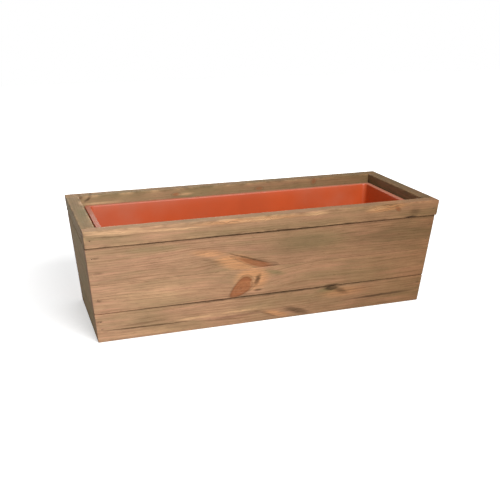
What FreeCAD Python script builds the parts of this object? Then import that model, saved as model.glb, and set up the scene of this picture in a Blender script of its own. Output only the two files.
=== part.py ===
"""Window box planter: a flared box of stained softwood boards with a lift-out plastic liner.

Frame: +X runs along the length, +Y to the back, +Z up. The origin is on the ground, below
the middle of the box. All sizes are in millimetres.
"""
import FreeCAD, Part
import math
import os

# ---- the box: outline and rows of boards -------------------------------------------------
RIM_LENGTH = 640.0           # over the box's ends, at the top of the rim
RIM_DEPTH = 260.0            # over the front and back rim rails, at the top
BASE_LENGTH = 606.0          # over the ends, on the ground
BASE_DEPTH = 209.0           # over the front and back boards, on the ground
BOTTOM_BOARD_HEIGHT = 52.0
MIDDLE_BOARD_HEIGHT = 54.0
UPPER_BOARD_HEIGHT = 66.0
RAIL_HEIGHT = 30.0
BOARD_THICKNESS = 18.0
RAIL_THICKNESS = 23.0
RAIL_STEP = 5.0              # the long rails stand this far proud of the boards below
OPEN_JOINT = 1.0             # gap under the middle boards and under the rim rails
TIGHT_JOINT = 0.15           # the middle and upper boards are butted tightly
EDGE_EASE = 1.0              # radius of a board's worn edges
SAME_HEIGHT = 1e-6           # heights that differ by less than this are the same

# ---- corner battens and floor ------------------------------------------------------------
BATTEN_WIDTH = 13.0
BATTEN_FOOT = 3.0            # height of a batten's lower end above the ground
BATTEN_DROP = 8.0            # its upper end stays this far below the liner's lip
CLEAT_RISE = 6.0
CLEAT_HEIGHT = 14.0
CLEAT_WIDTH = 18.0
CLEAT_END_GAP = 1.0          # between a cleat's end and the corner batten
SLAT_THICKNESS = 12.0
SLAT_COUNT = 5
SLAT_GAP = 42.0              # between one slat and the next
SLAT_END_GAP = 1.5           # between a slat's end and the board it points at
OUTER_SLAT_INSET = 12.0      # between the outermost slat and the corner batten

# ---- nails, brads and screws -------------------------------------------------------------
NAIL_BITE = 27.0             # depth of a wall nail in the end piece behind the board
NAIL_SHANK_RADIUS = 1.1
NAIL_HEAD_RADIUS = 2.2
BRAD_BITE = 20.0             # depth of a brad in the board under the rail
BRAD_SHANK_RADIUS = 0.8
BRAD_HEAD_RADIUS = 1.4
BRAD_END_INSET = 54.0        # from a long rail's end to its outermost brad
BRAD_NAIL_GAP = 9.0          # from a wall nail's tip to the nearest brad
SCREW_COVER = 5.0            # wood left between a screw's tip and the outer face
SCREW_SHANK_RADIUS = 1.5
SCREW_HEAD_RADIUS = 3.0
FLOOR_NAIL_COVER = 2.0       # wood left under a floor nail's tip
HEAD_THICKNESS = 1.0
HEAD_SET = 0.3               # a head lies this far below the wood's surface
HOLE_GAP = 0.05              # radial gap between a fastener and its hole
TIP_LENGTH = 3.0
BOTTOM_NAILS = (-2.0, 12.0)  # nail heights from the middle of each row's height
MIDDLE_NAILS = (-1.0,)
UPPER_NAILS = (-13.0, 14.0)
RAIL_NAILS = (-1.0,)
LONG_RAIL_BRADS = 5
END_RAIL_BRADS = 2

# ---- the liner ---------------------------------------------------------------------------
LIP_DROP = 16.0              # the lip lies this far below the top of the rim
LIP_WIDTH = 9.5              # flat lip round the opening, seen from above
LIP_END_GAP = 0.8            # from the skirt's foot to the rim rail, at the nearer end
LIP_SIDE_GAP = 4.4           # from the skirt's foot to the front and back rim rails
SKIRT_HEIGHT = 9.0           # turned-down edge of the lip
LINER_WALL = 2.2
LINER_DRAFT = 0.5            # degrees that each wall leans out more than the box's wall
TUB_GAP = 1.0                # from the liner to the corner battens, at the nearer end
LIP_CORNER = 14.0
LIP_ROUND = 1.0
FLOOR_ROUND = 6.0            # inner radius between the liner's walls and floor
CORNER_EXTRA = 4.0           # the upright corners' inner radius is this much larger
LINER_SHIFT = 2.5            # the liner stands this far to the right of the middle
KNOCKOUT_RADIUS = 6.0        # thinned discs in the floor that can be opened as drains
KNOCKOUT_DEPTH = 1.0
KNOCKOUTS_LONG = 3
KNOCKOUTS_DEEP = 2

# ---- worked out from the sizes above -----------------------------------------------------
HEIGHT = BOTTOM_BOARD_HEIGHT + MIDDLE_BOARD_HEIGHT + UPPER_BOARD_HEIGHT + RAIL_HEIGHT
RAIL_BASE = HEIGHT - RAIL_HEIGHT
END_SLOPE = (RIM_LENGTH - BASE_LENGTH) / 2 / HEIGHT
SIDE_SLOPE = ((RIM_DEPTH - BASE_DEPTH) / 2 - RAIL_STEP) / HEIGHT
END_COS = math.cos(math.atan(END_SLOPE))
SIDE_COS = math.cos(math.atan(SIDE_SLOPE))
RAIL_INSET = RAIL_THICKNESS - RAIL_STEP      # inner face of the front and back rim rails
BATTEN_INSET = BOARD_THICKNESS + BATTEN_WIDTH
FLOOR_TOP = CLEAT_RISE + CLEAT_HEIGHT + SLAT_THICKNESS
LIP_TOP = HEIGHT - LIP_DROP
SKIRT_BASE = LIP_TOP - SKIRT_HEIGHT
BATTEN_TOP = SKIRT_BASE - BATTEN_DROP
NAIL_LENGTH = BOARD_THICKNESS + NAIL_BITE
LEFT, RIGHT = -1, 1
FRONT, BACK = -1, 1
UP = FreeCAD.Vector(0, 0, 1)
# name, height of the lower face, height of the upper face, nail heights
ROWS = (
    ("bottom_board", 0.0, BOTTOM_BOARD_HEIGHT, BOTTOM_NAILS),
    ("middle_board", BOTTOM_BOARD_HEIGHT + OPEN_JOINT,
     BOTTOM_BOARD_HEIGHT + MIDDLE_BOARD_HEIGHT, MIDDLE_NAILS),
    ("upper_board", BOTTOM_BOARD_HEIGHT + MIDDLE_BOARD_HEIGHT + TIGHT_JOINT,
     RAIL_BASE, UPPER_NAILS),
)
TIGHT_FACES = (BOTTOM_BOARD_HEIGHT + MIDDLE_BOARD_HEIGHT,
               BOTTOM_BOARD_HEIGHT + MIDDLE_BOARD_HEIGHT + TIGHT_JOINT)


def end_x(z, depth=0.0):
    """Half length at height z of a plane that lies depth inside the outer end face."""
    return BASE_LENGTH / 2 + END_SLOPE * z - depth / END_COS


def side_y(z, depth=0.0):
    """Half depth at height z of a plane that lies depth inside the outer front or back face."""
    return BASE_DEPTH / 2 + SIDE_SLOPE * z - depth / SIDE_COS


def leaning_block(x_near, x_far, y_near, y_far, z_low, z_high):
    """Solid between four leaning planes, each given as a function of height."""
    rings = []
    for z in (z_low, z_high):
        corners = [(x_near(z), y_near(z)), (x_far(z), y_near(z)),
                   (x_far(z), y_far(z)), (x_near(z), y_far(z))]
        points = [FreeCAD.Vector(x, y, z) for x, y in corners]
        rings.append(Part.makePolygon(points + points[:1]))
    return Part.makeLoft(rings, True, True)


def eased(block, square_heights=()):
    """The block with its edges rounded, apart from those at the heights of tight joints."""
    kept = []
    for edge in block.Edges:
        heights = [vertex.Point.z for vertex in edge.Vertexes]
        flat = max(heights) - min(heights) < SAME_HEIGHT
        square = any(abs(heights[0] - z) < SAME_HEIGHT for z in square_heights)
        if not (flat and square):
            kept.append(edge)
    return block.makeFillet(EDGE_EASE, kept)


def long_piece(side, z_low, z_high, proud, thickness, square_heights=()):
    """A full-length board or rail of the front or the back."""
    block = leaning_block(
        lambda z: -end_x(z), end_x,
        lambda z: side * side_y(z, thickness - proud), lambda z: side * side_y(z, -proud),
        z_low, z_high)
    return eased(block, square_heights)


def end_piece(end, z_low, z_high, thickness, side_inset, square_heights=()):
    """A board or rail of the left or right end, between the front and the back."""
    block = leaning_block(
        lambda z: end * end_x(z, thickness), lambda z: end * end_x(z),
        lambda z: -side_y(z, side_inset), lambda z: side_y(z, side_inset),
        z_low, z_high)
    return eased(block, square_heights)


def corner_batten(end, side):
    """Upright batten in an inside corner, which ties the rows of boards together."""
    block = leaning_block(
        lambda z: end * end_x(z, BATTEN_INSET), lambda z: end * end_x(z, BOARD_THICKNESS),
        lambda z: side * side_y(z, BATTEN_INSET), lambda z: side * side_y(z, BOARD_THICKNESS),
        BATTEN_FOOT, BATTEN_TOP)
    return eased(block)


def floor_cleat(side):
    """Long cleat inside the front or back bottom board, which carries the floor slats."""
    half_length = end_x(CLEAT_RISE, BATTEN_INSET) - CLEAT_END_GAP
    block = leaning_block(
        lambda z: -half_length, lambda z: half_length,
        lambda z: side * side_y(z, BOARD_THICKNESS + CLEAT_WIDTH),
        lambda z: side * side_y(z, BOARD_THICKNESS),
        CLEAT_RISE, CLEAT_RISE + CLEAT_HEIGHT)
    return eased(block)


def slat_width():
    """Width of each of the slats that, with their gaps, fill the floor's length."""
    span = 2 * (end_x(CLEAT_RISE, BATTEN_INSET) - OUTER_SLAT_INSET)
    return (span - SLAT_GAP * (SLAT_COUNT - 1)) / SLAT_COUNT


def slat_centres():
    """Places of the floor slats along the box."""
    step = slat_width() + SLAT_GAP
    return [step * (index - (SLAT_COUNT - 1) / 2) for index in range(SLAT_COUNT)]


def floor_slat(centre):
    """Crosswise slat, which lies on both cleats."""
    low = CLEAT_RISE + CLEAT_HEIGHT
    half_depth = side_y(low, BOARD_THICKNESS) - SLAT_END_GAP
    corner = FreeCAD.Vector(centre - slat_width() / 2, -half_depth, low)
    return eased(Part.makeBox(slat_width(), 2 * half_depth, SLAT_THICKNESS, corner))


# ---- fasteners ---------------------------------------------------------------------------
class Fastener:
    """A straight fastener, driven into a surface at a point and in a direction."""

    def __init__(self, point, direction, length, shank_radius, head_radius):
        self.point = FreeCAD.Vector(*point)
        self.direction = FreeCAD.Vector(*direction).normalize()
        self.length = length
        self.shank_radius = shank_radius
        self.head_radius = head_radius

    def along(self, distance):
        return self.point + self.direction * distance

    def solid(self):
        """Head, shank and pointed tip, with the head just below the surface."""
        head = Part.makeCylinder(self.head_radius, HEAD_THICKNESS,
                                 self.along(HEAD_SET), self.direction)
        shank = Part.makeCylinder(self.shank_radius, self.length - TIP_LENGTH - HEAD_SET,
                                  self.along(HEAD_SET), self.direction)
        tip = Part.makeCone(self.shank_radius, 0, TIP_LENGTH,
                            self.along(self.length - TIP_LENGTH), self.direction)
        return head.fuse([shank, tip]).removeSplitter()

    def hole(self):
        """What is cut from the wood: a seat for the head and a bore for the shank."""
        seat = Part.makeCylinder(self.head_radius + HOLE_GAP, HEAD_THICKNESS + HEAD_SET,
                                 self.point, self.direction)
        bore = Part.makeCylinder(self.shank_radius + HOLE_GAP, self.length + HOLE_GAP,
                                 self.point, self.direction)
        return seat.fuse(bore)


def wall_nails(side):
    """Nails through the ends of the front or back boards and rail, into the end pieces."""
    rows = [(z_low, z_high, offsets, 0.0) for _, z_low, z_high, offsets in ROWS]
    rows.append((RAIL_BASE, HEIGHT, RAIL_NAILS, RAIL_STEP))
    nails = []
    for z_low, z_high, offsets, proud in rows:
        for offset in offsets:
            z = (z_low + z_high) / 2 + offset
            for end in (LEFT, RIGHT):
                point = (end * end_x(z, BOARD_THICKNESS / 2), side * side_y(z, -proud), z)
                direction = (0, -side, SIDE_SLOPE)
                nails.append(Fastener(point, direction, NAIL_LENGTH,
                                      NAIL_SHANK_RADIUS, NAIL_HEAD_RADIUS))
    return nails


def rim_brads():
    """Thin brads down through the rim rails, into the upper boards."""
    places = []
    long_reach = end_x(RAIL_BASE, BRAD_END_INSET)
    end_reach = side_y(RAIL_BASE, NAIL_LENGTH + BRAD_NAIL_GAP)
    for index in range(LONG_RAIL_BRADS):
        x = long_reach * (2 * index / (LONG_RAIL_BRADS - 1) - 1)
        places += [(x, side * side_y(RAIL_BASE, BOARD_THICKNESS / 2)) for side in (FRONT, BACK)]
    for index in range(END_RAIL_BRADS):
        y = end_reach * (2 * index / (END_RAIL_BRADS - 1) - 1)
        places += [(end * end_x(RAIL_BASE, BOARD_THICKNESS / 2), y) for end in (LEFT, RIGHT)]
    return [Fastener((x, y, HEIGHT), (0, 0, -1), RAIL_HEIGHT + BRAD_BITE,
                     BRAD_SHANK_RADIUS, BRAD_HEAD_RADIUS) for x, y in places]


def batten_screws():
    """Screws from inside, through the corner battens into the front and back boards."""
    screws = []
    for _, z_low, z_high, _ in ROWS:
        z = (z_low + z_high) / 2
        for end in (LEFT, RIGHT):
            for side in (FRONT, BACK):
                point = (end * end_x(z, BOARD_THICKNESS + BATTEN_WIDTH / 2),
                         side * side_y(z, BATTEN_INSET), z)
                screws.append(Fastener(point, (0, side, -SIDE_SLOPE),
                                       BATTEN_INSET - SCREW_COVER,
                                       SCREW_SHANK_RADIUS, SCREW_HEAD_RADIUS))
    return screws


def cleat_screws():
    """Screws from inside, through the floor cleats into the front and back boards."""
    centres = slat_centres()
    gaps = [(left + right) / 2 for left, right in zip(centres, centres[1:])]
    z = CLEAT_RISE + CLEAT_HEIGHT / 2
    inset = BOARD_THICKNESS + CLEAT_WIDTH
    screws = []
    for x in gaps:
        for side in (FRONT, BACK):
            screws.append(Fastener((x, side * side_y(z, inset), z), (0, side, -SIDE_SLOPE),
                                   inset - SCREW_COVER, SCREW_SHANK_RADIUS,
                                   SCREW_HEAD_RADIUS))
    return screws


def floor_nails():
    """Nails down through the floor slats into the cleats."""
    y = side_y(CLEAT_RISE + CLEAT_HEIGHT, BOARD_THICKNESS + CLEAT_WIDTH / 2)
    length = SLAT_THICKNESS + CLEAT_HEIGHT - FLOOR_NAIL_COVER
    return [Fastener((x, side * y, FLOOR_TOP), (0, 0, -1), length,
                     NAIL_SHANK_RADIUS, NAIL_HEAD_RADIUS)
            for x in slat_centres() for side in (FRONT, BACK)]


def bored(piece, fasteners):
    """The piece with a hole for each fastener that reaches it."""
    for fastener in fasteners:
        hole = fastener.hole()
        if piece.BoundBox.intersect(hole.BoundBox):
            piece = piece.cut(hole)
    return piece


# ---- the liner ---------------------------------------------------------------------------
def rounded_ring(length, depth, radius, z):
    """Closed outline of a rectangle with round corners, at height z."""
    centre_x, centre_y = length / 2 - radius, depth / 2 - radius
    corners = ((1, 1, 0), (-1, 1, 90), (-1, -1, 180), (1, -1, 270))
    arcs = []
    for sign_x, sign_y, start in corners:
        centre = FreeCAD.Vector(sign_x * centre_x, sign_y * centre_y, z)
        arcs.append(Part.makeCircle(radius, centre, UP, start, start + 90).Edges[0])
    edges = []
    for arc, following in zip(arcs, arcs[1:] + arcs[:1]):
        straight = Part.makeLine(arc.valueAt(arc.LastParameter),
                                 following.valueAt(following.FirstParameter))
        edges += [arc, straight]
    return Part.Wire(edges)


def lip_size():
    """Length and depth of the lip, as large as the rim rails and corner battens allow."""
    between_rails = end_x(SKIRT_BASE, RAIL_THICKNESS) - LIP_END_GAP
    between_battens = end_x(BATTEN_TOP, BATTEN_INSET) - TUB_GAP
    lip_past_tub = LIP_WIDTH - LINER_WALL + wall_lean(END_SLOPE) * (LIP_TOP - BATTEN_TOP)
    half_length = min(between_rails, between_battens + lip_past_tub) - LINER_SHIFT
    half_depth = side_y(SKIRT_BASE, RAIL_INSET) - LIP_SIDE_GAP
    return 2 * half_length, 2 * half_depth


def wall_lean(slope):
    """Slope of a liner wall beside a wall of the box with the given slope."""
    return slope + math.tan(math.radians(LINER_DRAFT))


def edges_at(solid, z):
    """The solid's edges that lie at one height."""
    return [edge for edge in solid.Edges
            if all(abs(vertex.Point.z - z) < SAME_HEIGHT for vertex in edge.Vertexes)]


def tapered_tub(wall, z_low):
    """Solid tub up to the lip's top, wall outside the liner's inner faces."""
    length, depth = lip_size()
    rings = []
    for z in (z_low, LIP_TOP):
        inset = LIP_WIDTH - wall
        rings.append(rounded_ring(
            length - 2 * (inset + wall_lean(END_SLOPE) * (LIP_TOP - z)),
            depth - 2 * (inset + wall_lean(SIDE_SLOPE) * (LIP_TOP - z)),
            FLOOR_ROUND + CORNER_EXTRA + wall, z))
    tub = Part.makeLoft(rings, True, True)
    return tub.makeFillet(FLOOR_ROUND + wall, edges_at(tub, z_low))


def liner_body():
    """Plastic liner: tapered walls, a flat lip with a turned-down skirt, and a flat floor."""
    length, depth = lip_size()
    outer = tapered_tub(LINER_WALL, FLOOR_TOP)
    hollow = tapered_tub(0.0, FLOOR_TOP + LINER_WALL)
    lip = Part.Face(rounded_ring(length, depth, LIP_CORNER, SKIRT_BASE))
    lip = lip.extrude(UP * SKIRT_HEIGHT)
    lip = lip.makeFillet(LIP_ROUND, edges_at(lip, LIP_TOP))
    under = Part.Face(rounded_ring(length - 2 * LINER_WALL, depth - 2 * LINER_WALL,
                                   LIP_CORNER - LINER_WALL, SKIRT_BASE))
    under = under.extrude(UP * (SKIRT_HEIGHT - LINER_WALL))
    body = outer.fuse(lip.cut(under)).cut(hollow).removeSplitter()
    return body.cut(knockouts())


def knockouts():
    """Shallow round recesses in the liner's floor."""
    length, depth = lip_size()
    z = FLOOR_TOP + LINER_WALL - KNOCKOUT_DEPTH
    step_x = (length - 2 * LIP_WIDTH) / (KNOCKOUTS_LONG + 1)
    step_y = (depth - 2 * LIP_WIDTH) / (KNOCKOUTS_DEEP + 1)
    discs = []
    for index_x in range(KNOCKOUTS_LONG):
        for index_y in range(KNOCKOUTS_DEEP):
            x = step_x * (index_x - (KNOCKOUTS_LONG - 1) / 2)
            y = step_y * (index_y - (KNOCKOUTS_DEEP - 1) / 2)
            discs.append(Part.makeCylinder(KNOCKOUT_RADIUS, LINER_WALL,
                                           FreeCAD.Vector(x, y, z)))
    return discs


def liner():
    body = liner_body()
    body.translate(FreeCAD.Vector(LINER_SHIFT, 0, 0))
    return body


# ---- the assembly ------------------------------------------------------------------------
def assembly():
    """Every piece of the planter, by the name of its node."""
    front_nails, back_nails = wall_nails(FRONT), wall_nails(BACK)
    brads, floor = rim_brads(), floor_nails()
    inner_screws, under_screws = batten_screws(), cleat_screws()
    groups = {"front_nails": front_nails, "back_nails": back_nails, "rim_brads": brads,
              "batten_screws": inner_screws, "cleat_screws": under_screws,
              "floor_nails": floor}
    wood = {}
    rail_low = RAIL_BASE + OPEN_JOINT
    for name, z_low, z_high, _ in ROWS:
        for word, side in (("front", FRONT), ("back", BACK)):
            wood[f"{word}_{name}"] = long_piece(side, z_low, z_high, 0.0, BOARD_THICKNESS,
                                                TIGHT_FACES)
        for word, end in (("left", LEFT), ("right", RIGHT)):
            wood[f"{word}_{name}"] = end_piece(end, z_low, z_high, BOARD_THICKNESS,
                                               BOARD_THICKNESS, TIGHT_FACES)
    for word, side in (("front", FRONT), ("back", BACK)):
        wood[f"{word}_rim_rail"] = long_piece(side, rail_low, HEIGHT, RAIL_STEP,
                                              RAIL_THICKNESS)
        wood[f"{word}_floor_cleat"] = floor_cleat(side)
    for word, end in (("left", LEFT), ("right", RIGHT)):
        wood[f"{word}_rim_rail"] = end_piece(end, rail_low, HEIGHT, RAIL_THICKNESS,
                                             RAIL_INSET)
    for end_word, end in (("left", LEFT), ("right", RIGHT)):
        for side_word, side in (("front", FRONT), ("back", BACK)):
            wood[f"{side_word}_{end_word}_corner_batten"] = corner_batten(end, side)
    for number, centre in enumerate(slat_centres(), 1):
        wood[f"floor_slat_{number}"] = floor_slat(centre)
    fasteners = [fastener for group in groups.values() for fastener in group]
    pieces = {name: bored(piece, fasteners) for name, piece in wood.items()}
    for name, group in groups.items():
        pieces[name] = Part.makeCompound([fastener.solid() for fastener in group])
    pieces["liner"] = liner()
    return pieces


def main():
    os.makedirs("parts", exist_ok=True)
    for name, piece in assembly().items():
        piece.exportStep(f"parts/{name}.step")
        print(name, "solids", len(piece.Solids), "valid", piece.isValid())


main()
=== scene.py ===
"""Window box planter: its boards, fasteners and liner, dressed and finished around the frame.

Lengths are in metres in the meshes, and in millimetres in the materials and in the list of
marks on the wood. Places are those of the frame: +X along the box, +Y to its back, +Z up, and
the ground at 0.
"""
import math
import typing

import bmesh
import bpy
from bpy.props import FloatProperty, FloatVectorProperty, PointerProperty
from mathutils import Matrix, Vector, noise


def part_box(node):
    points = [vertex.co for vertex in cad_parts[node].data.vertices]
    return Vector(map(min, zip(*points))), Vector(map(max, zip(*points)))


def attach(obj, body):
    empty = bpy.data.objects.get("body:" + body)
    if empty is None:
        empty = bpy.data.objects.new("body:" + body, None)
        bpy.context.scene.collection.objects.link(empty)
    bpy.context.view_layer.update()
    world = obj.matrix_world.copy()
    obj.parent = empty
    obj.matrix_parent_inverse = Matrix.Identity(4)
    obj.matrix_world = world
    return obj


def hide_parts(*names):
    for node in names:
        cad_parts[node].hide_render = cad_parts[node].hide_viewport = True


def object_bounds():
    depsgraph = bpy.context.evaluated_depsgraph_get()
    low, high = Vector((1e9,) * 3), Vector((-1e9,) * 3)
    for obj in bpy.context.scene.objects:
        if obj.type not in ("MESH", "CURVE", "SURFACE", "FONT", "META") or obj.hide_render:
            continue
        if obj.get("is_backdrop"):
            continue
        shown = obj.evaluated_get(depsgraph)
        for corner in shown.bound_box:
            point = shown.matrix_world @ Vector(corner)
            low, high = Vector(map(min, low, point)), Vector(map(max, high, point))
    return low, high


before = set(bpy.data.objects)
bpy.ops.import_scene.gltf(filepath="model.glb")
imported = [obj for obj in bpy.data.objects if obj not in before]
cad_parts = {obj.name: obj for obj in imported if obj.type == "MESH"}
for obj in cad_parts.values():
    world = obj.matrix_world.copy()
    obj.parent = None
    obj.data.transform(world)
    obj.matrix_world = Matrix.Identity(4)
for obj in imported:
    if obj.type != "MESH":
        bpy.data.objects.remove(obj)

bl_info = {
    "name": "Window Box Planter",
    "version": (1, 0, 0),
    "blender": (4, 5, 0),
    "location": "3D View > Sidebar > Planter",
    "description": "Stained softwood window box with a lift-out plastic liner",
    "category": "Object",
}

MM = 0.001
X, Y, Z = 0, 1, 2


def linear(code):
    """The linear colour of an sRGB hex code."""
    channels = [int(code[i:i + 2], 16) / 255 for i in (0, 2, 4)]
    return [c / 12.92 if c <= 0.04045 else ((c + 0.055) / 1.055) ** 2.4 for c in channels]


# ---- what a user would change ------------------------------------------------------------
def colour_setting(name, description, code):
    """A setting that holds a colour, its default an sRGB hex code."""
    return FloatVectorProperty(name=name, description=description, subtype="COLOR",
                               min=0, max=1, default=linear(code))


def length_setting(name, description, default, least=0.0):
    """A setting that holds a length in metres."""
    return FloatProperty(name=name, description=description, unit="LENGTH",
                         min=least, default=default)


class PlanterWood(bpy.types.PropertyGroup):
    early_wood: colour_setting("Early wood", "Stain on the soft, pale part of each ring", "B68C6B")
    late_wood: colour_setting("Late wood", "Stain on the hard, dark part of each ring", "835D42")
    plain_early_wood: colour_setting(
        "Plain early wood", "Pale part of the rings inside the box, less stained", "B9986F")
    plain_late_wood: colour_setting(
        "Plain late wood", "Dark part of the rings inside the box", "8E6C48")
    warm_tone: colour_setting("Warm tone", "Streaks that took the stain redder", "C08B6E")
    green_tone: colour_setting(
        "Green tone", "Where the impregnation shows through the stain", "857350")
    heart_wood: colour_setting("Heartwood", "Orange resinous wood beside a knot", "CC9264")
    knot: colour_setting("Knot", "Sound red-brown knot", "985D3A")
    # this colour also paints shade: the shadow line under the front rim rail and the corner shade
    # by the right rail's front end
    dark_mark_and_shade: colour_setting("Dark mark", "Bark, resin streaks and stained gaps", "3C2A1A")
    # this colour also paints the highlight of a lit sliver on the right rail by the front corner
    pale_mark_and_highlight: colour_setting(
        "Pale mark", "Bright grain and rubbed edges where the stain took badly", "D6AA7E")
    ring: length_setting("Ring", "Width of a growth ring", 0.0034, least=0.001)
    ease: length_setting(
        "Edge", "Width of the rounding along a board's edges", 0.0012, least=0.0002)
    tight_ease: length_setting(
        "Tight edge", "Width of the rounding where two boards are butted", 0.0003, least=0.0001)
    wear: length_setting("Wear", "How deep the edges are knocked and rubbed", 0.0005)
    cell: length_setting(
        "Cell", "Spacing of the mesh that carries the unevenness", 0.006, least=0.002)


class PlanterLiner(bpy.types.PropertyGroup):
    colour: colour_setting("Terracotta", "Pigment of the moulded plastic", "BF4E1D")
    # this colour paints both dust and the painted sheen on the lip's top
    dust: colour_setting("Dust", "Dry dust and rubbed plastic, mostly on the lip", "B2735A")
    thickness: length_setting("Wall", "Thickness of the moulding", 0.0022, least=0.001)
    lip_round: length_setting(
        "Lip rounding", "Reach of the rounding on both edges of the lip", 0.0023, least=0.001)
    floor_round: length_setting(
        "Floor rounding", "Reach of the rounding between the walls and floor", 0.005, least=0.001)
    bow: length_setting("Bow", "How far the thin walls bow inwards", 0.0008)
    cell: length_setting("Cell", "Spacing of the mesh that carries the bow", 0.012, least=0.004)


class PlanterFasteners(bpy.types.PropertyGroup):
    steel: colour_setting("Steel", "Zinc-plated steel of the nails and screws", "74583F")
    tarnish: colour_setting("Tarnish", "Stain and rust on the heads", "4A3626")
    dome: length_setting(
        "Dome", "How far the middle of a nail's head stands above its edge", 0.0003)
    recess: length_setting("Recess", "Depth of the cross in a screw's head", 0.0012)


class PlanterStage(bpy.types.PropertyGroup):
    floor_colour: colour_setting("Floor", "Pale floor, as it is seen", "F2F2F2")
    floor_bounce: colour_setting(
        "Floor bounce", "Pale grey floor, as it lights the object", "A8A8A8")
    key_power: FloatProperty(
        name="Key light", description="Power of the large light in front",
        unit="POWER", min=0, default=39.0)
    fill_power: FloatProperty(
        name="Fill light", description="Power of the light overhead",
        unit="POWER", min=0, default=5.0)
    back_power: FloatProperty(
        name="Back light", description="Power of the low light behind",
        unit="POWER", min=0, default=7.0)
    sky: FloatProperty(
        name="Room light", description="Even light from all round", min=0, default=0.22)
    focal_length: FloatProperty(
        name="Focal length", description="Camera lens", subtype="DISTANCE_CAMERA",
        min=1, default=55.727)
    sensor_width: FloatProperty(
        name="Sensor", description="Camera sensor", subtype="DISTANCE_CAMERA",
        min=1, default=36.0)


# ---- nodes of a material -----------------------------------------------------------------
def plug(node, inputs):
    """Gives a node its inputs, by name or in order, each a value or another node's output."""
    for socket, value in (inputs.items() if isinstance(inputs, dict) else enumerate(inputs)):
        if isinstance(value, bpy.types.NodeSocket):
            node.id_data.links.new(value, node.inputs[socket])
        else:
            node.inputs[socket].default_value = value


def add(tree, kind, inputs=(), out=0, **settings):
    """Adds a node with its settings and inputs, and gives one of its outputs."""
    made = tree.nodes.new(f"ShaderNode{kind}")
    for name, value in settings.items():
        setattr(made, name, value)
    plug(made, inputs)
    return made.outputs[out]


def new_material(name):
    """A new node material, its tree and its Principled shader."""
    material = bpy.data.materials.new(name)
    material.use_nodes = True
    return material, material.node_tree, material.node_tree.nodes["Principled BSDF"]


def rgba(colour, tone=1.0):
    """A colour as a socket takes it, made lighter or darker by a tone."""
    return (*(c * tone for c in colour), 1.0)


# ---- the wood's finish -------------------------------------------------------------------
WANDER = (260.0, 65.0)       # mm along and across the grain: its slow bends
WANDER_HEIGHT = 18.0
RIPPLE = (60.0, 12.0)        # its short bends
RIPPLE_HEIGHT = 3.0
FRAY = (16.0, 4.0)           # the ragged outline of a mark
FIBRES = (60.0, 0.9)         # bundles of fibres, drawn coarser than they are
PORES = (11.0, 0.8)          # resin canals, drawn coarser than they are
STREAKS = (150.0, 5.0)       # redder streaks
PATCHES = (120.0, 26.0)      # cloudy patches of stain
BLOTCHES = (34.0, 13.0)      # small clouds where the brush was wetter
BOARD_FADE = (110.0, 9.0)    # where the rings show strongly and where they don't
RUBS = (22.0, 9.0)           # where an edge is rubbed
FRAY_REACH = (8.0, 2.5)      # mm along and across that an outline is moved at most
CURLS = (19.0, 70.0)         # curly grain beside a branch
WAVE_UNIT = math.tau / 20    # a Wave Texture at scale 1 has one ring in this distance
HALF_BOX = 300.0             # mm, the length over which the painted light fall-off runs
PAINTED_LIGHT_FALLOFF = (-0.34, -0.39, -0.48)   # painted light: lighter towards the left end, darker and redder towards the right, for the light's fall-off along the box
KNOT_RINGS = 3.5
KNOT_RING_SHADE = 0.22
KNOT_RIM = (0.97, 0.13)      # a knot's dark rim: its middle and half its width
KNOT_RIM_SHADE = 0.3
BULGE_FALL = -0.4            # how fast the push beside a knot dies away
CURLY_RINGS = 0.6            # how strongly the rings show in curly grain


class Mark(typing.NamedTuple):
    """A knot, streak or patch in a board, in millimetres along, across and into the grain."""
    kind: str                # knot, heart, dark, pale or green
    along: float
    across: float
    length: float
    width: float
    strength: float = 1.0
    tilt: float = 0.0        # degrees
    core: float = 0.0        # share of the mark that has its full strength
    taper: float = 0.0       # how much one end is narrower than the other
    bulge: float = 0.0       # how far it pushes the rings aside
    curl: float = 0.0        # height of the wave that it puts into the grain
    inward: float = 0.0      # how far in its middle lies
    depth: float = 900.0     # how deep it reaches: through the whole box, unless given


def patterned(tree, place, size, seed=0.0, detail=3.0, out="Fac"):
    """Noise drawn out along the grain, its cells of the given length and width."""
    length, width = size
    place = add(tree, "Mapping", {"Vector": place, "Location": (seed, seed * 0.37, seed * 0.71),
                                  "Scale": (1 / length, 1 / width, 1 / width)})
    return add(tree, "TexNoise", {"Vector": place, "Scale": 1.0, "Detail": detail}, out=out)


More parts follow.
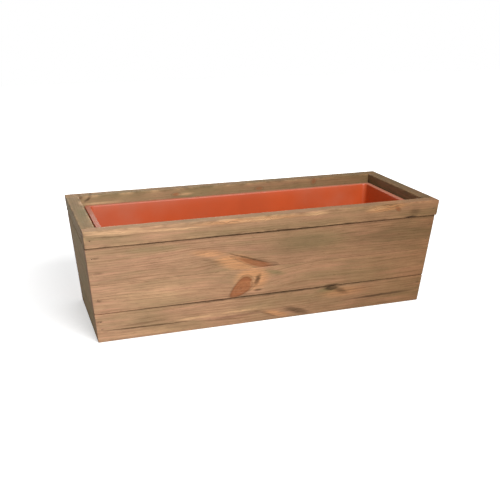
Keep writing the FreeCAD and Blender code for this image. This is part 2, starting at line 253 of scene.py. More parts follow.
def marked(tree, along, grain, marks):
    """How much there is of each kind of mark, and how far the marks push the grain aside."""
    place = add(tree, "TexCoord", out="Object")
    x, y, z = add(tree, "SeparateXYZ", (place,), out=slice(3))
    order = {X: (x, z, y), Y: (y, z, x), Z: (z, x, y)}[along]
    place = add(tree, "CombineXYZ", order)
    fray = patterned(tree, grain, FRAY, 2.0, out="Color")
    fray = add(tree, "VectorMath", (fray, (0.5, 0.5, 0.5)), operation="SUBTRACT")
    fray = add(tree, "VectorMath", (fray, (*FRAY_REACH, 0)), operation="MULTIPLY")
    clean = add(tree, "VectorMath", (place, (1 / MM,) * 3), operation="MULTIPLY")
    frayed = add(tree, "VectorMath", (clean, fray), operation="ADD")
    wave = patterned(tree, grain, CURLS, 7.0, 1.0)
    wave = add(tree, "MapRange", (wave, 0.3, 0.7, -1.0, 1.0))
    amounts, push = {}, 0.0
    for mark in marks:
        local = add(tree, "Mapping", {
            "Vector": clean if mark.kind == "knot" else frayed,
            "Location": (mark.along, mark.across, mark.inward),
            "Rotation": (0, 0, math.radians(mark.tilt)),
            "Scale": (mark.length / 2, mark.width / 2, mark.depth / 2)}, vector_type="TEXTURE")
        if mark.taper:
            ahead, aside, into = add(tree, "SeparateXYZ", (local,), out=slice(3))
            narrow = add(tree, "Math", (ahead, -mark.taper, 1.0), operation="MULTIPLY_ADD")
            aside = add(tree, "Math", (aside, narrow), operation="MULTIPLY")
            local = add(tree, "CombineXYZ", (ahead, aside, into))
        distance = add(tree, "VectorMath", (local,), out="Value", operation="LENGTH")
        amount = add(tree, "MapRange", {
            "Value": distance, "From Min": 1.0, "From Max": mark.core, "To Min": 0.0,
            "To Max": mark.strength}, interpolation_type="SMOOTHSTEP")
        more = {mark.kind: amount}
        if mark.kind == "knot":
            rings = add(tree, "Math", (distance, KNOT_RINGS), operation="MULTIPLY")
            rings = add(tree, "Math", (rings,), operation="FRACT")
            rings = add(tree, "Math", (rings, amount), operation="MULTIPLY")
            rim = add(tree, "Math", (distance, *KNOT_RIM), operation="COMPARE")
            rim = add(tree, "Math", (rim, KNOT_RIM_SHADE * mark.strength), operation="MULTIPLY")
            more["dark"] = add(tree, "Math", (rings, KNOT_RING_SHADE, rim),
                               operation="MULTIPLY_ADD")
        if mark.bulge:
            near = add(tree, "Math", (distance, distance), operation="MULTIPLY")
            near = add(tree, "Math", (near, BULGE_FALL), operation="MULTIPLY")
            near = add(tree, "Math", (near,), operation="EXPONENT")
            push = add(tree, "Math", (near, mark.bulge, push), operation="MULTIPLY_ADD")
        if mark.curl:
            lift = add(tree, "Math", (wave, amount), operation="MULTIPLY")
            push = add(tree, "Math", (lift, mark.curl, push), operation="MULTIPLY_ADD")
            more["curly"] = amount
        for kind, share in more.items():
            if kind in amounts:
                share = add(tree, "Math", (amounts[kind], share), operation="MAXIMUM")
            amounts[kind] = share
    return amounts, push


def stained_pine(name, early, late, marks=(), along=X, light_falloff=0.0, tone=1.0, green=0.0):
    """Sawn and planed pine under a thin brown stain.

    Its growth rings show as drawn-out dark and light lines, which bend round each knot, and as
    arcs on the ends. The stain is matt, lies greenish in places and gathers dark in knots and
    gaps. End grain drinks more of it, and it is rubbed off some of the edges. The dark line under
    the front rim rail is painted shadow, and the colour is painted lighter towards the box's left
    end for the light's fall-off.
    """
    wood = bpy.context.scene.planter_wood
    material, tree, shader = new_material(name)
    grain = add(tree, "Attribute", out="Vector", attribute_name="grain")
    slow = patterned(tree, grain, WANDER, detail=1.0, out="Color")
    quick = patterned(tree, grain, RIPPLE, detail=2.0, out="Color")
    bent = add(tree, "VectorMath", (slow, (0, WANDER_HEIGHT, WANDER_HEIGHT / 2), grain),
               operation="MULTIPLY_ADD")
    bent = add(tree, "VectorMath", (quick, (0, RIPPLE_HEIGHT, RIPPLE_HEIGHT / 2), bent),
               operation="MULTIPLY_ADD")
    amounts = {}
    if marks:
        amounts, push = marked(tree, along, grain, marks)
        push = add(tree, "CombineXYZ", (0.0, push, 0.0))
        bent = add(tree, "VectorMath", (bent, push), operation="ADD")

    rings = add(tree, "TexWave", {"Vector": bent, "Scale": WAVE_UNIT / (wood.ring / MM)},
                out="Fac", wave_type="RINGS", rings_direction="X", wave_profile="SAW")
    lines = add(tree, "Math", (rings, 2.0), operation="POWER")
    fade = patterned(tree, bent, BOARD_FADE, 9.0, 2.0)
    fade = add(tree, "MapRange", (fade, 0.3, 0.72, 0.08, 0.62))
    if "curly" in amounts:
        curly = add(tree, "Math", (amounts["curly"], CURLY_RINGS), operation="MULTIPLY")
        fade = add(tree, "Math", (fade, curly), operation="MAXIMUM")
    lines = add(tree, "Math", (lines, fade), operation="MULTIPLY")
    fibres = patterned(tree, bent, FIBRES, detail=4.0)
    dark = add(tree, "MapRange", (fibres, 0.36, 0.74, 0.0, 0.6))
    dark = add(tree, "Math", (lines, dark), operation="ADD", use_clamp=True)
    colour = add(tree, "Mix", {"Factor": dark, "A": rgba(early, tone), "B": rgba(late, tone)},
                 out="Result", data_type="RGBA")

    layers = []
    streaks = patterned(tree, bent, STREAKS, 4.0)
    layers.append((wood.warm_tone, add(tree, "MapRange", (streaks, 0.48, 0.68, 0.0, 0.6))))
    patches = patterned(tree, bent, PATCHES, 3.0)
    greenish = add(tree, "MapRange", (patches, 0.42, 0.66, green, min(green + 0.4, 1.0)))
    if "green" in amounts:
        greenish = add(tree, "Math", (greenish, amounts["green"]), operation="MAXIMUM")
    layers.append((wood.green_tone, greenish))
    on_pale = add(tree, "MapRange", (dark, 0.1, 0.8, 1.0, 0.05))
    on_dark = add(tree, "MapRange", (fibres, 0.32, 0.62, 0.65, 1.0))
    for kind, shade, uneven in (("heart", wood.heart_wood, on_pale),
                                ("knot", wood.knot, on_dark),
                                ("pale", wood.pale_mark_and_highlight, on_pale),
                                ("dark", wood.dark_mark_and_shade, on_dark)):
        if kind in amounts:
            amount = add(tree, "Math", (amounts[kind], uneven), operation="MULTIPLY")
            layers.append((shade, amount))
    pores = patterned(tree, bent, PORES, 5.0, 1.0)
    layers.append((wood.dark_mark_and_shade, add(tree, "MapRange", (pores, 0.62, 0.74, 0.0, 0.35))))
    worn = add(tree, "Attribute", out="Fac", attribute_name="worn")
    rubs = patterned(tree, grain, RUBS, 6.0, 3.0)
    pale = add(tree, "MapRange", (rubs, 0.46, 0.62, 0.0, 0.5))
    layers.append((wood.pale_mark_and_highlight, add(tree, "Math", (pale, worn), operation="MULTIPLY")))
    soiled = add(tree, "MapRange", (rubs, 0.46, 0.34, 0.0, 0.4))
    layers.append((wood.dark_mark_and_shade, add(tree, "Math", (soiled, worn), operation="MULTIPLY")))
    ends = add(tree, "Attribute", out="Fac", attribute_name="end")
    layers.append((wood.dark_mark_and_shade, add(tree, "MapRange", (ends, 0.5, 1.0, 0.0, 0.5))))
    for shade, amount in layers:
        colour = add(tree, "Mix", {"Factor": amount, "A": colour, "B": rgba(shade, tone)},
                     out="Result", data_type="RGBA")

    # painted light: the colour is lighter towards the box's left end and darker towards its right,
    # standing in for the light's fall-off; the stain is also cloudy
    blotches = patterned(tree, grain, BLOTCHES, 1.0, 4.0)
    blotches = add(tree, "MapRange", (blotches, 0.3, 0.7, 0.9, 1.1))
    place = add(tree, "TexCoord", out="Object")
    run = add(tree, "SeparateXYZ", (place,))
    run = add(tree, "Math", (run, light_falloff / (HALF_BOX * MM)), operation="MULTIPLY")
    slope = add(tree, "VectorMath", (run, PAINTED_LIGHT_FALLOFF, (1, 1, 1)), operation="MULTIPLY_ADD")
    shade = add(tree, "VectorMath", (slope, blotches), operation="MULTIPLY")
    colour = add(tree, "Mix", {"Factor": 1.0, "A": colour, "B": shade},
                 out="Result", data_type="RGBA", blend_type="MULTIPLY")

    rough = add(tree, "MapRange", (dark, 0.0, 1.0, 0.66, 0.82))
    height = add(tree, "Math", (fibres, 0.6, rings), operation="MULTIPLY_ADD")
    bump = add(tree, "Bump", {"Height": height, "Strength": 0.5, "Distance": 0.3 * MM})
    plug(shader, {"Base Color": colour, "Roughness": rough, "Specular IOR Level": 0.14,
                  "Normal": bump})
    return material


# ---- shapes read from the frame ----------------------------------------------------------
TOUCHING = 0.01 * MM         # points nearer than this are one point
HEAD_DEPTH = 0.6 * MM        # the top of a head lies within this depth of its highest point
TIP_DEPTH = 0.1 * MM         # points this near to the tip aren't on the shank


def main_planes(node):
    """A straight-sided node's six main faces, each as its normal and distance."""
    found = {}
    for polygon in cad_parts[node].data.polygons:
        normal = polygon.normal.copy()
        distance = normal.dot(polygon.center)
        axis = max((X, Y, Z), key=lambda a: abs(normal[a]))
        side = 1 if normal[axis] > 0 else -1
        alike = found.setdefault((axis, side), {})
        key = (*(round(c, 2) for c in normal), round(distance / MM))
        entry = alike.setdefault(key, [0.0, polygon.area, normal, distance])
        entry[0] += polygon.area
        if polygon.area > entry[1]:
            entry[1:] = polygon.area, normal, distance
    return {place: max(alike.values(), key=lambda entry: entry[0])[2:]
            for place, alike in found.items()}


def corner(planes, signs):
    """The point where three of the main planes meet."""
    rows = [planes[axis, sign] for axis, sign in enumerate(signs)]
    distances = Vector([distance for _, distance in rows])
    return Matrix([normal for normal, _ in rows]).inverted() @ distances


def islands(node):
    """The separate solids of a node, each as a list of points."""
    bm = bmesh.new()
    bm.from_mesh(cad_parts[node].data)
    bmesh.ops.remove_doubles(bm, verts=bm.verts, dist=TOUCHING)
    seen, groups = set(), []
    for first in bm.verts:
        if first in seen:
            continue
        group = [first]
        seen.add(first)
        for vertex in group:
            near = [edge.other_vert(vertex) for edge in vertex.link_edges]
            new = [other for other in near if other not in seen]
            group.extend(new)
            seen.update(new)
        groups.append([vertex.co.copy() for vertex in group])
    bm.free()
    return groups


class Driven:
    """A nail or screw of the frame: the middle of its head, its direction and its sizes."""

    def __init__(self, points, axis):
        ends = {side: [p for p in points
                       if p[axis] * side > max(q[axis] * side for q in points) - HEAD_DEPTH]
                for side in (-1, 1)}
        spread = {side: max((p - q).length for p in top for q in top)
                  for side, top in ends.items()}
        self.axis, self.side = axis, max(spread, key=spread.get)
        top = ends[self.side]
        self.head = sum(top, Vector()) / len(top)
        self.radius = max((point - self.head).length for point in top)
        tip = max(points, key=lambda point: (point - self.head).length)
        self.direction = (tip - self.head).normalized()
        self.length = (tip - self.head).length
        depths = [((point - self.head).dot(self.direction), point) for point in points]
        self.thickness = min(d for d, _ in depths if d > HEAD_DEPTH)
        self.shank = min(
            (point - self.head - self.direction * d).length for d, point in depths
            if HEAD_DEPTH < d < self.length - TIP_DEPTH)


def driven(node, axis):
    """Every nail or screw of a node whose heads face along an axis."""
    return [Driven(points, axis) for points in islands(node)]


# ---- wooden pieces -----------------------------------------------------------------------
HEAD_SEAT = 0.3 * MM         # the wood is pressed away this far round a head
SEAT_DEPTH = 0.3 * MM
SEAT_SLOPE = 0.8 * MM
SEAT_REACH = 14 * MM         # the face is cut this far round a seat
HEAD_NEAR = 2 * MM           # a head this near to a face is driven into it
FLAT = 0.3 * MM              # a point this near to a face's plane lies on the face
JUST_OVER = 1.001            # takes in the points that lie on a limit
AT_JOINT = 0.6 * MM          # an edge this near to a joint's height lies at the joint
SHARP_EDGE = 50              # degrees
EDGE_FACE = (1.5 * MM) * (8 * MM)     # a face smaller than this lies on a rounded edge
HOLLOWS = 28 * MM            # size of the slow unevenness
HOLLOW_DEPTH = 0.12 * MM
KNOCKS = 9 * MM              # size of the knocks on the edges
RUBBED_SHARE = 0.6           # how much the hollows add to the wear
MERGED = 0.02 * MM           # points of a finished piece nearer than this are merged
SEEDS = 97                   # each piece's name picks one of so many patterns
PATTERN_APART = 977          # mm along the grain from one pattern to the next
PITH_ASIDE = (20, 60)        # mm, the tree's middle beside a board's, and how much it varies
PITH_BEHIND = (46.0, 17)     # mm, the same behind it


def edges_along(bm, axis):
    """Edges that run mainly along an axis."""
    found = []
    for edge in bm.edges:
        run = edge.verts[1].co - edge.verts[0].co
        if max((X, Y, Z), key=lambda a: abs(run[a])) == axis:
            found.append(edge)
    return found


def block(planes, cell):
    """A block between six planes, cut into cells of about the given size."""
    bm = bmesh.new()
    bmesh.ops.create_cube(bm, size=2.0)
    for vertex in bm.verts:
        vertex.co = corner(planes, [1 if c > 0 else -1 for c in vertex.co])
    for axis in (X, Y, Z):
        edges = edges_along(bm, axis)
        longest = max(edge.calc_length() for edge in edges)
        cuts = max(1, round(longest / cell) - 1)
        bmesh.ops.subdivide_edges(bm, edges=edges, cuts=cuts, use_grid_fill=True)
    return bm


def ease_edges(bm, width, segments, chosen):
    """Rounds the sharp edges for which the test holds."""
    edges = [edge for edge in bm.edges
             if edge.calc_face_angle(0) > math.radians(SHARP_EDGE) and chosen(edge)]
    bmesh.ops.bevel(bm, geom=edges, offset=width, segments=segments, profile=0.5,
                    affect="EDGES", material=-1)


def across(axis):
    """The two axes that aren't the given one."""
    return [other for other in (X, Y, Z) if other != axis]


def cut_round(bm, middle, radius, slope, axis, normal, reach):
    """Cuts the face that a point lies on, as far as a reach, to make ready for a round seat."""
    outer = radius + slope
    for other in across(axis):
        line = Vector((0, 0, 0))
        line[other] = 1.0
        for step in (-outer, -radius, 0.0, radius, outer):
            faces = [face for face in bm.faces
                     if (face.calc_center_median() - middle).length < reach
                     and abs(normal.dot(face.calc_center_median() - middle)) < FLAT]
            edges = dict.fromkeys(edge for face in faces for edge in face.edges)
            points = dict.fromkeys(vertex for face in faces for vertex in face.verts)
            bmesh.ops.bisect_plane(bm, geom=[*points, *edges, *faces], dist=TOUCHING,
                                   plane_co=middle + line * step, plane_no=line)


def press_disc(bm, middle, radius, slope, depth, axis, normal):
    """Presses a round seat into a face that was cut for it."""
    outer = radius + slope
    for vertex in bm.verts:
        if abs(normal.dot(vertex.co - middle)) > FLAT:
            continue
        away = [vertex.co[other] - middle[other] for other in across(axis)]
        square = max(abs(value) for value in away)
        if TOUCHING < square < outer * JUST_OVER:
            shrink = square / math.hypot(*away)
            for other, value in zip(across(axis), away):
                vertex.co[other] = middle[other] + value * shrink
        if square < radius * JUST_OVER:
            vertex.co -= normal * depth


def press_seats(bm, planes, fasteners):
    """Round seats pressed into a piece where the heads of its fasteners lie."""
    for item in fasteners:
        normal, distance = planes[item.axis, item.side]
        if abs(normal.dot(item.head) - distance) > HEAD_NEAR:
            continue
        middle = item.head - normal * (normal.dot(item.head) - distance)
        radius = item.radius + HEAD_SEAT
        cut_round(bm, middle, radius, SEAT_SLOPE, item.axis, normal, SEAT_REACH)
        press_disc(bm, middle, radius, SEAT_SLOPE, SEAT_DEPTH, item.axis, normal)


def weather(bm, seed, wear, exposed):
    """Rubs the edges back unevenly and makes the faces a little uneven. Nothing grows."""
    worn = bm.verts.layers.float.new("worn")
    bm.normal_update()
    for face in bm.faces:
        if face.calc_area() < EDGE_FACE:
            for vertex in face.verts:
                vertex[worn] = exposed
    for vertex, normal in [(vertex, vertex.normal.copy()) for vertex in bm.verts]:
        slow = 0.5 + 0.5 * noise.noise(vertex.co / HOLLOWS + Vector((seed, 0, 0)))
        quick = max(0.0, noise.noise(vertex.co / KNOCKS + Vector((0, seed, 0))))
        rubbed = vertex[worn] * wear * (RUBBED_SHARE * slow * slow + quick)
        depth = HOLLOW_DEPTH * slow + rubbed
        vertex.co -= normal * depth


def lay_grain(bm, along, seed):
    """Writes each point's place in the tree, and how much it belongs to an end."""
    grain = bm.verts.layers.float_vector.new("grain")
    end = bm.verts.layers.float.new("end")
    bm.normal_update()
    middle = sum((vertex.co for vertex in bm.verts), Vector()) / len(bm.verts)
    aside, into = {X: (Z, Y), Y: (Z, X), Z: (X, Y)}[along]
    outward = 1 if middle[into] > 0 else -1
    for vertex in bm.verts:
        place = (vertex.co - middle) / MM
        vertex[grain] = (place[along] + PATTERN_APART * seed,
                         place[aside] + PITH_ASIDE[0] + seed % PITH_ASIDE[1],
                         place[into] * outward + PITH_BEHIND[0] + seed % PITH_BEHIND[1])
        vertex[end] = abs(vertex.normal[along])


def finish_piece(bm, name, body, material, replaced, smooth=35):
    """Turns a bmesh into a piece of the object."""
    bmesh.ops.remove_doubles(bm, verts=bm.verts, dist=MERGED)
    mesh = bpy.data.meshes.new(name)
    bm.to_mesh(mesh)
    bm.free()
    mesh.materials.append(material)
    mesh.shade_smooth()
    mesh.set_sharp_from_angle(angle=math.radians(smooth))
    piece = bpy.data.objects.new(name, mesh)
    bpy.context.collection.objects.link(piece)
    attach(piece, body)
    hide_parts(replaced)


def wooden_piece(node, along, material, fasteners=(), butted_at=None, exposed=0.7):
    """Replaces a plain piece of wood by an eased and weathered one."""
    wood = bpy.context.scene.planter_wood
    planes = main_planes(node)
    bm = block(planes, wood.cell)
    seed = sum(ord(letter) * place for place, letter in enumerate(node, 1)) % SEEDS

    def at_joint(edge):
        return butted_at is not None and all(
            abs(vertex.co.z - butted_at) < AT_JOINT for vertex in edge.verts)

    ease_edges(bm, wood.tight_ease, 1, at_joint)
    ease_edges(bm, wood.ease, 3, lambda edge: not at_joint(edge))
    weather(bm, seed, wood.wear, exposed)
    press_seats(bm, planes, fasteners)
    lay_grain(bm, along, seed)
    finish_piece(bm, f"{node}_timber", "box", material, node)


# ---- the box -----------------------------------------------------------------------------
# how light the stain is on each row of boards
ROWS = {"bottom_board": 1.06, "middle_board": 1.08, "upper_board": 0.98}
# kind, place along and across, length, width, strength, tilt and core
MARKS = {
    "front_rim_rail": (
        Mark("pale", -262, 196, 150, 10, 0.85, -1, 0.3, curl=2.0),
        Mark("pale", -170, 193, 150, 7, 0.9, -2, 0.3, curl=2.0),
        Mark("dark", -272, 190, 90, 3, 0.5, -1, 0.3),
        Mark("heart", -40, 197, 270, 11, 0.9, 0, 0.4, curl=3.0),
        Mark("pale", -30, 196, 120, 6, 0.9, 0, 0.3, curl=3.0),
        Mark("pale", 78, 197, 60, 9, 1.0, 0, 0.4, curl=2.0),
        Mark("heart", 214, 196, 110, 17, 1.0, 4, 0.4, curl=2.5),
        Mark("pale", 196, 196, 60, 8, 0.8, 6, 0.3, curl=2.5),
        Mark("knot", 236, 192, 16, 9, 0.8, -40, 0.6),
        Mark("dark", 272, 184, 34, 20, 0.5, 0, 0.2),
        Mark("dark", 268, 173, 38, 9, 1.0, 0, 0.5),
        Mark("green", -40, 181, 480, 20, 0.5, 0, 0.5),
        # painted shadow: a dark line along the rail's lower edge, where it meets the board below
        Mark("dark", 0, 173, 660, 5, 0.75, 0, 0.3),
    ),
    "front_upper_board": (
        Mark("heart", -112, 142, 90, 20, 0.8, -8, 0.3),
        Mark("heart", -64, 120, 100, 40, 1.0, -15, 0.45, taper=0.2, bulge=-9.0),
        Mark("knot", -30, 116, 92, 16, 0.95, -20, 0.5, taper=0.6),
        Mark("dark", -42, 126, 112, 4.5, 0.8, -19, 0.4, taper=0.3),
        Mark("dark", 2, 108, 40, 3.5, 0.8, -4, 0.3),
        Mark("dark", 2, 143, 52, 12, 0.25, 44),
        Mark("dark", -104, 127, 70, 9, 0.3, -16, 0.2),
        Mark("green", 70, 146, 270, 60, 0.7, 0, 0.3),
        Mark("green", -210, 160, 190, 22, 0.6, 0, 0.3),
        Mark("dark", 230, 144, 260, 66, 0.2, 0, 0.3),
        Mark("dark", -300, 154, 18, 6, 0.7), Mark("dark", -296, 127, 22, 6, 0.6),
        Mark("dark", 30, 140, 230, 60, 0.16, 0, 0.3),
        # painted shadow: a dark line along the board's top, under the rim rail
        Mark("dark", 0, 171.5, 660, 5, 0.75, 0, 0.3),
    ),
    "front_middle_board": (
        Mark("heart", -34, 86, 80, 58, 0.95, 0, 0.5, bulge=12.0),
        Mark("knot", -54, 70, 54, 28, 1.0, 40, 0.88, taper=0.45),
        Mark("pale", -33, 78, 12, 40, 0.5, -12, 0.2),
        Mark("dark", -24, 83, 34, 14, 0.85, 66, 0.3),
        Mark("dark", -23, 63, 24, 7, 0.75, 0, 0.3),
        Mark("green", 6, 94, 70, 16, 0.8, -14, 0.3),
        Mark("dark", 118, 54, 40, 8, 0.95, 0, 0.5),
        Mark("green", 110, 78, 270, 42, 0.5, 0, 0.2),
        Mark("dark", -30, 57, 560, 2.6, 0.25, 0, 0.4), Mark("dark", -60, 100, 180, 2.6, 0.2),
        Mark("dark", -299, 77, 18, 6, 0.7),
        Mark("dark", 0, 53, 640, 4.5, 0.8, 0, 0.3),
        Mark("pale", -200, 78, 230, 46, 0.3, 0, 0.2),
    ),
    "front_bottom_board": (
        Mark("green", 112, 45, 70, 20, 0.9, 0, 0.3),
        Mark("dark", 120, 49, 38, 14, 1.0, 0, 0.5),
        Mark("heart", 142, 38, 130, 26, 0.8, 0, 0.2),
        Mark("dark", 137, 42, 56, 15, 0.6, -24, 0.2),
        Mark("dark", -215, 20, 210, 4, 0.8, -1, 0.4, curl=1.0),
        Mark("dark", -225, 27, 130, 8, 0.4, 2, 0.2, curl=2.0),
        Mark("green", -222, 38, 84, 22, 0.5, 0, 0.4),
        Mark("dark", -218, 36, 60, 14, 0.25, 0, 0.2),
        Mark("pale", -78, 25, 250, 17, 0.4, 2, 0.2),
        Mark("pale", -130, 24, 96, 8, 0.9, 1, 0.3, curl=1.0),
        Mark("pale", -58, 26, 110, 8, 0.9, 3, 0.3, curl=1.0),
        Mark("dark", -60, 17, 190, 8, 0.4, 2, 0.3, curl=1.5),
        Mark("heart", 14, 12, 70, 14, 0.9, -16, 0.3, curl=3.0),
        Mark("dark", -4, 14, 60, 8, 0.45, -24, 0.3, curl=3.0),
        Mark("dark", 54, 12, 80, 18, 0.7, -18, 0.3, curl=3.0),
        Mark("dark", 220, 22, 190, 7, 0.85, 1, 0.3),
        Mark("pale", -230, 8, 180, 14, 0.4, 0, 0.2),
        Mark("dark", -301, 39, 16, 5, 0.7), Mark("dark", 299, 38, 12, 5, 0.7),
        Mark("dark", 0, 51.5, 640, 4.5, 0.8, 0, 0.3),
    ),
    "back_rim_rail": (
        Mark("knot", -113, 191, 20, 9, 0.7, 0, 0.4),
        Mark("pale", -94, 191, 44, 9, 0.5, 0, 0.3),
        Mark("dark", -92, 201, 16, 8, 0.4, 0, 0.3),
        Mark("knot", 56, 190, 20, 9, 0.6, 0, 0.4),
        Mark("knot", 174, 196, 12, 18, 0.7, -30, 0.4),
        Mark("dark", -279, 197, 30, 8, 0.8, 42, 0.3),
        Mark("dark", -294, 199, 14, 10, 0.8, 0, 0.3),
        Mark("pale", -255, 186, 110, 8, 0.6, 0, 0.3),
        Mark("green", -60, 199, 560, 12, 0.6, 0, 0.4),
        Mark("dark", -249, 202, 9, 60, 0.5, 0, 0.3, inward=121, depth=8),
        Mark("dark", -236, 202, 7, 60, 0.5, 0, 0.3, inward=124, depth=6),
        Mark("dark", -308, 202, 8, 60, 0.6, 0, 0.3, inward=121, depth=9),
    ),
    "left_rim_rail": (
        Mark("green", 80, 202, 150, 60, 0.75, 0, 0.6),
        Mark("pale", 56, 201, 50, 8, 0.7, 0, 0.3, inward=-298, depth=14),
    ),
    "right_rim_rail": (
        # painted light: a dark spot of painted corner shade and a pale sliver of painted
        # highlight, by the front-right corner
        Mark("dark", -100, 200, 10, 20, 0.9, 0, 0.4),
        Mark("pale", -88, 199, 5, 10, 0.8, 0, 0.4),
    ),
}


class PLANTER_OT_boards(bpy.types.Operator):
    """Make the boards of the front, back and ends"""
    bl_idname = "planter.boards"
    bl_label = "Boards"

    def execute(self, context):
        wood = context.scene.planter_wood
        nails = {side: driven(f"{side}_nails", Y) for side in ("front", "back")}
        joint = (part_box("front_middle_board")[1].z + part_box("front_upper_board")[0].z) / 2
        # painted light: a lighter copy of the stain (tone 1.2) for the end boards, lifting the
        # shade that falls on the box's ends
        ends = stained_pine("stained_pine_ends", wood.early_wood, wood.late_wood,
                            tone=1.2, green=0.7)
        for row, tone in ROWS.items():
            butted_at = None if row == "bottom_board" else joint
            for side in ("front", "back"):
                node = f"{side}_{row}"
                pine = stained_pine(f"stained_pine_{node}", wood.early_wood, wood.late_wood,
                                    MARKS.get(node, ()), light_falloff=1.0, tone=tone, green=0.1)
                wooden_piece(node, X, pine, nails[side], butted_at, 0.2)
            for side in ("left", "right"):
                wooden_piece(f"{side}_{row}", Y, ends, (), butted_at, 0.2)
        return {"FINISHED"}


# side, direction, how green and how light the stain is
RAILS = (("front", X, 0.2, 1.0), ("back", X, 0.5, 0.95),
         ("left", Y, 0.6, 0.82), ("right", Y, 0.5, 0.8))
RAIL_LIGHT_FALLOFF = 0.9             # the share of the painted light fall-off along the box that the rails have


class PLANTER_OT_rails(bpy.types.Operator):
    """Make the rails of the rim"""
    bl_idname = "planter.rails"
    bl_label = "Rim rails"

    def execute(self, context):
        wood = context.scene.planter_wood
        brads = driven("rim_brads", Z)
        for side, along, green, tone in RAILS:
            node = f"{side}_rim_rail"
            pine = stained_pine(f"stained_pine_{node}", wood.early_wood, wood.late_wood,
                                MARKS.get(node, ()), along, RAIL_LIGHT_FALLOFF, tone, green)
            nails = driven(f"{side}_nails", Y) if along == X else []
            wooden_piece(node, along, pine, nails + brads)
        return {"FINISHED"}


class PLANTER_OT_inner_frame(bpy.types.Operator):
    """Make the corner battens, floor cleats and floor slats"""
    bl_idname = "planter.inner_frame"
    bl_label = "Inner frame"

    def execute(self, context):
        wood = context.scene.planter_wood
        pine = stained_pine("plain_pine", wood.plain_early_wood, wood.plain_late_wood)
        screws = driven("batten_screws", Y) + driven("cleat_screws", Y)
        nails = driven("floor_nails", Z)
        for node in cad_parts:
            if node.endswith("corner_batten"):
                wooden_piece(node, Z, pine, screws)
            elif node.endswith("floor_cleat"):
                wooden_piece(node, X, pine, screws)
            elif node.startswith("floor_slat"):
                wooden_piece(node, Y, pine, nails)
        return {"FINISHED"}


# ---- nails and screws --------------------------------------------------------------------
POINT_LENGTH = 3.0           # a point is this many shank radii long
TURN_STEPS = 16
SPOTS = 0.002                # size of the tarnished spots
DOME = ((0.35, 0.15), (0.7, 0.6), (0.93, 1.0))     # shares of a head's radius and of its dome
HEAD_EDGE = 0.15 * MM        # the head's edge is rounded this far down
HEAD_SHARE = 0.6             # a nail's head ends at this share of the way to its shank
FLAT_HEAD = 0.1 * MM         # edge of a countersunk head
CROSS_ARM = 0.05             # half the width of a cross's arm, as a share of the head's radius
CROSS_REACH = 0.75
UPPER_FACE = 0.05 * MM       # a screw's cross is cut in points above this depth


def tarnished_steel():
    """Zinc-plated steel that the stain has run over: dull grey, with brown tarnish in spots."""
    steel = bpy.context.scene.planter_fasteners
    material, tree, shader = new_material("tarnished_zinc_plated_steel")
    place = add(tree, "TexCoord", out="Object")
    blot = add(tree, "TexNoise", {"Vector": place, "Scale": 1 / SPOTS, "Detail": 3.0})
    blot = add(tree, "MapRange", (blot, 0.35, 0.6, 0.0, 1.0))
    colour = add(tree, "Mix", {"Factor": blot, "A": rgba(steel.steel), "B": rgba(steel.tarnish)},
                 out="Result", data_type="RGBA")
    rough = add(tree, "MapRange", (blot, 0.0, 1.0, 0.4, 0.75))
    bare = add(tree, "MapRange", (blot, 0.0, 1.0, 0.6, 0.0))
    plug(shader, {"Base Color": colour, "Roughness": rough, "Metallic": bare})
    return material


def turned(bm, profile):
    """Turns a profile of radii and depths round the Z axis. Gives the new points."""
    made = [bm.verts.new((radius, 0, -depth)) for radius, depth in profile]
    edges = [bm.edges.new(pair) for pair in zip(made, made[1:])]
    before = set(bm.verts) - set(made)
    bmesh.ops.spin(bm, geom=made + edges, axis=(0, 0, 1), cent=(0, 0, 0), angle=math.tau,
                   steps=TURN_STEPS, use_merge=True)
    new = [vertex for vertex in bm.verts if vertex not in before]
    bmesh.ops.remove_doubles(bm, verts=new, dist=TOUCHING)
    return [vertex for vertex in bm.verts if vertex not in before]


def fastener_piece(node, axis, material, cross):
    """Replaces a node's nails or screws by ones with finished heads."""
    settings = bpy.context.scene.planter_fasteners
    bm = bmesh.new()
    for item in driven(node, axis):
        dome = 0.0 if cross else settings.dome
        edge = dome + HEAD_EDGE
        underside = edge + FLAT_HEAD if cross else item.thickness * HEAD_SHARE
        profile = [(0, 0), *((item.radius * out, dome * down) for out, down in DOME),
                   (item.radius, edge), (item.radius, underside),
                   (item.shank, item.thickness),
                   (item.shank, item.length - POINT_LENGTH * item.shank), (0, item.length)]
        new = turned(bm, profile)
        if cross:
            for vertex in new:
                spread = math.hypot(vertex.co.x, vertex.co.y)
                arm = min(abs(vertex.co.x), abs(vertex.co.y)) < CROSS_ARM * item.radius
                near = spread < CROSS_REACH * item.radius
                if vertex.co.z > -UPPER_FACE and near and arm:
                    vertex.co.z -= settings.recess * (1 - spread / item.radius)
        turn = item.direction.to_track_quat("-Z", "X").to_matrix().to_4x4()
        bmesh.ops.transform(bm, matrix=Matrix.Translation(item.head) @ turn, verts=new)
    bmesh.ops.recalc_face_normals(bm, faces=bm.faces)
    finish_piece(bm, f"{node}_steel", "box", material, node)


class PLANTER_OT_fasteners(bpy.types.Operator):
    """Make the nails, brads and screws"""
    bl_idname = "planter.fasteners"
    bl_label = "Nails and screws"

    def execute(self, context):
        material = tarnished_steel()
        for node, axis, cross in (("front_nails", Y, False), ("back_nails", Y, False),
                                  ("rim_brads", Z, False), ("floor_nails", Z, False),
                                  ("batten_screws", Y, True), ("cleat_screws", Y, True)):
            fastener_piece(node, axis, material, cross)
        return {"FINISHED"}


